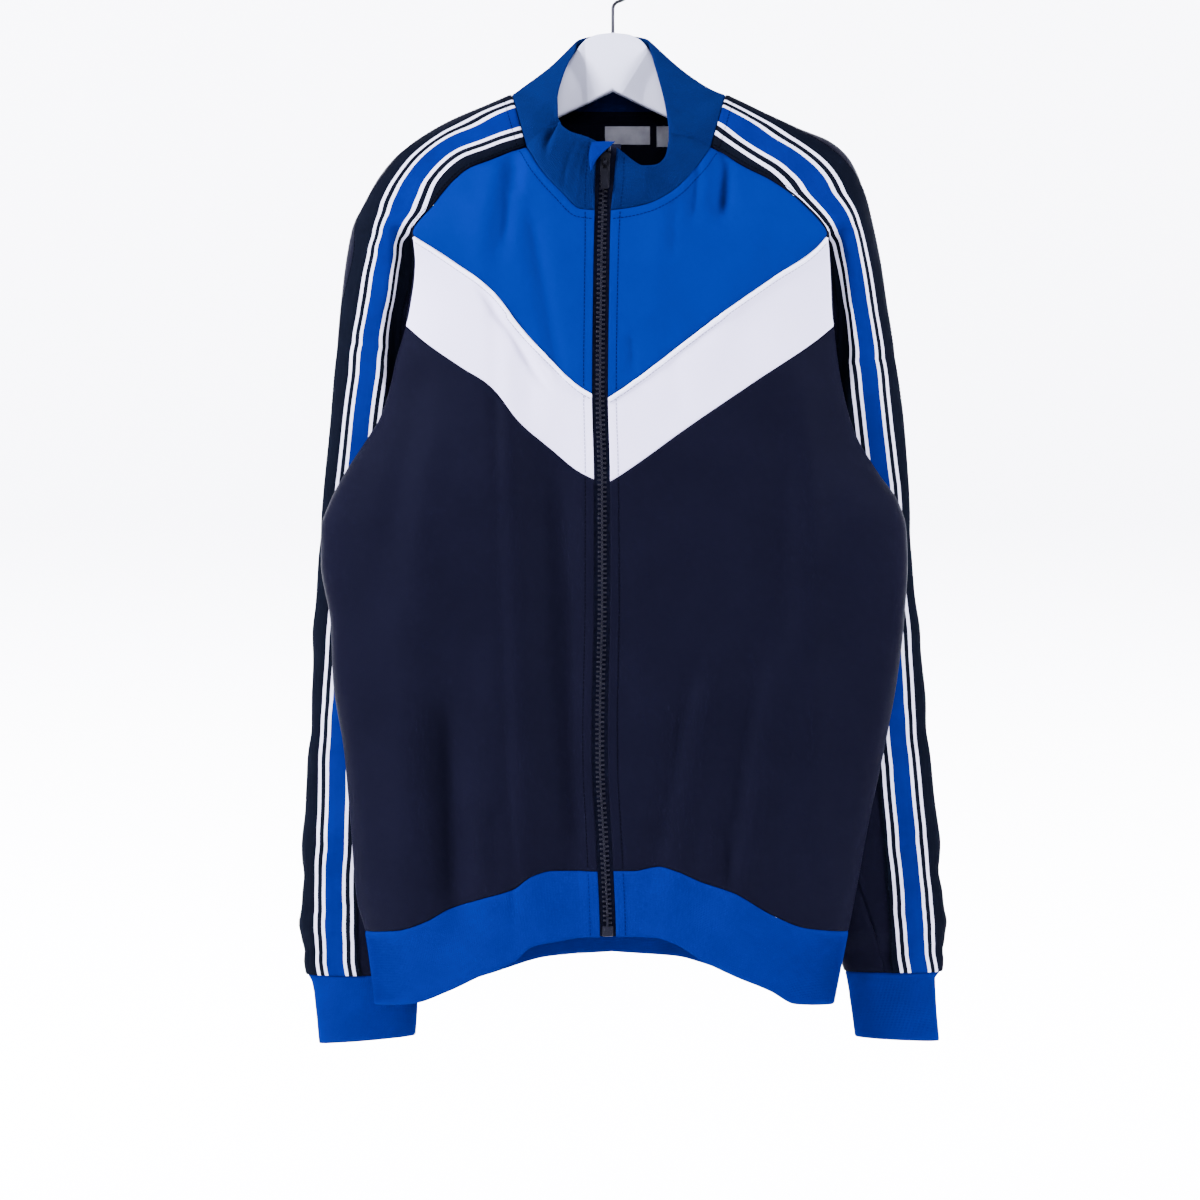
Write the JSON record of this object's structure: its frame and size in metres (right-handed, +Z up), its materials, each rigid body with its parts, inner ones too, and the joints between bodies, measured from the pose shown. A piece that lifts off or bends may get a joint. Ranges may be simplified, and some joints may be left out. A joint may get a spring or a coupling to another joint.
{
  "type": "full-zip track jacket on a clothes hanger",
  "caption": "Raglan track jacket with stand collar, chevron front and striped sleeves, zipped shut and hung flat on a plastic hanger with a steel hook.",
  "frame": {"origin": "the point under the top of the hook's arch that a rail carries", "axes": "+Z up, the jacket's front faces -Y, the wearer's left is at +X"},
  "size_m": [0.5294, 0.0969, 0.888],
  "materials": {
    "navy_tricot": "smooth polyester tricot with a soft sheen",
    "royal_tricot": "smooth polyester tricot with a satin sheen",
    "white_tricot": "smooth white tricot",
    "rib_knit": "fine matt rib knit",
    "stripe_tape": "knitted tape, striped navy, white and blue",
    "zip_tape": "black woven tape",
    "zip_teeth": "black moulded teeth",
    "slider_metal": "black enamel",
    "label_satin": "grey-white satin, bare",
    "hanger_plastic": "white satin plastic",
    "hook_steel": "dark drawn steel"
  },
  "bodies": {
    "jacket": {"yoke_right": "royal_tricot", "yoke_left": "royal_tricot", "chevron_right": "white_tricot", "chevron_left": "white_tricot", "piping_right": "white_tricot", "piping_left": "white_tricot", "front_right": "navy_tricot", "front_left": "navy_tricot", "back": "navy_tricot", "sleeve_right": "navy_tricot", "sleeve_left": "navy_tricot", "tape_right": "stripe_tape", "tape_left": "stripe_tape", "cuff_right": "rib_knit", "cuff_left": "rib_knit", "hem_band": "rib_knit", "collar": "rib_knit", "zip_garage": "rib_knit", "neck_tape": "navy_tricot", "label_main": "label_satin", "label_size": "label_satin", "zip_tape_right": "zip_tape", "zip_tape_left": "zip_tape", "zip_chain": "zip_teeth", "zip_top_stop": "zip_teeth", "zip_box": "zip_teeth", "slider": "slider_metal", "hanger": "hanger_plastic", "hook": "hook_steel"},
    "pull_tab": {"pull": "slider_metal"}
  },
  "joints": [
    {"name": "pull_swing", "type": "hinge", "parent": "jacket", "child": "pull_tab", "pos_m": [-0.00646, -0.05112, -0.1755], "axis": [-1, 0, 0], "range_deg": [0, 115]}
  ]
}
